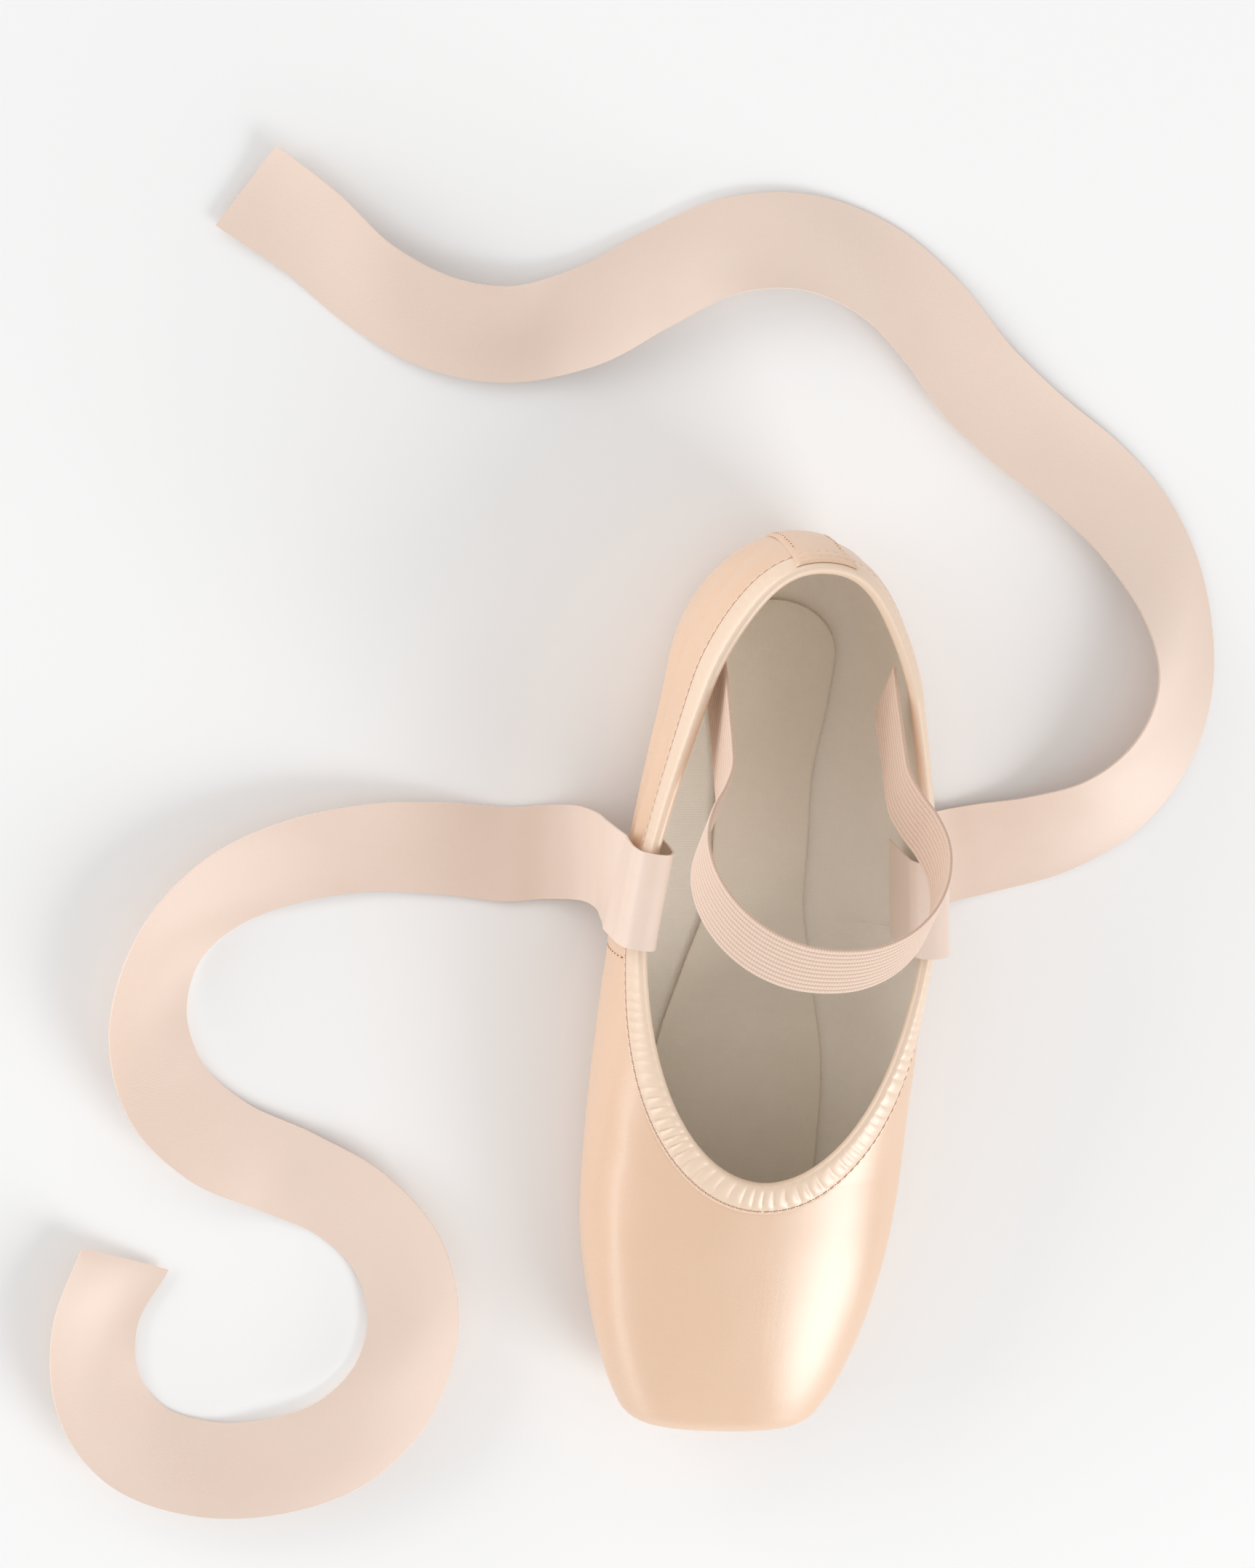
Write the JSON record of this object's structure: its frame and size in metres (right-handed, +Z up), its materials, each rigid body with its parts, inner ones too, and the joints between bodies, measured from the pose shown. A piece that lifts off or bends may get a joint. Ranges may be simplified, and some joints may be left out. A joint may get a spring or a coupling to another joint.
{
  "type": "pointe shoe",
  "caption": "Satin pointe shoe with flat toe platform, stiff box, bound collar, leather sole, elastic and loose ribbons, standing on its sole.",
  "frame": {"origin": "middle of the shoe's footprint, on the floor it stands on", "axes": "+Y towards the heel and -Y towards the toe, +X to the wearer's left or right alike, +Z up"},
  "size_m": [0.2841, 0.3448, 0.1024],
  "materials": {
    "satin": "peach satin with a soft sheen",
    "sole_leather": "scored suede leather",
    "insole_cloth": "matt cotton",
    "binding_tape": "gathered satin tape",
    "elastic_web": "ribbed woven elastic",
    "ribbon_satin": "fine pale ribbon"
  },
  "bodies": {
    "root": {"upper": "satin", "outsole": "sole_leather", "insole": "insole_cloth", "binding": "binding_tape", "heel_strip": "satin", "elastic": "elastic_web", "ribbon_left": "ribbon_satin", "ribbon_right": "ribbon_satin"}
  },
  "joints": []
}
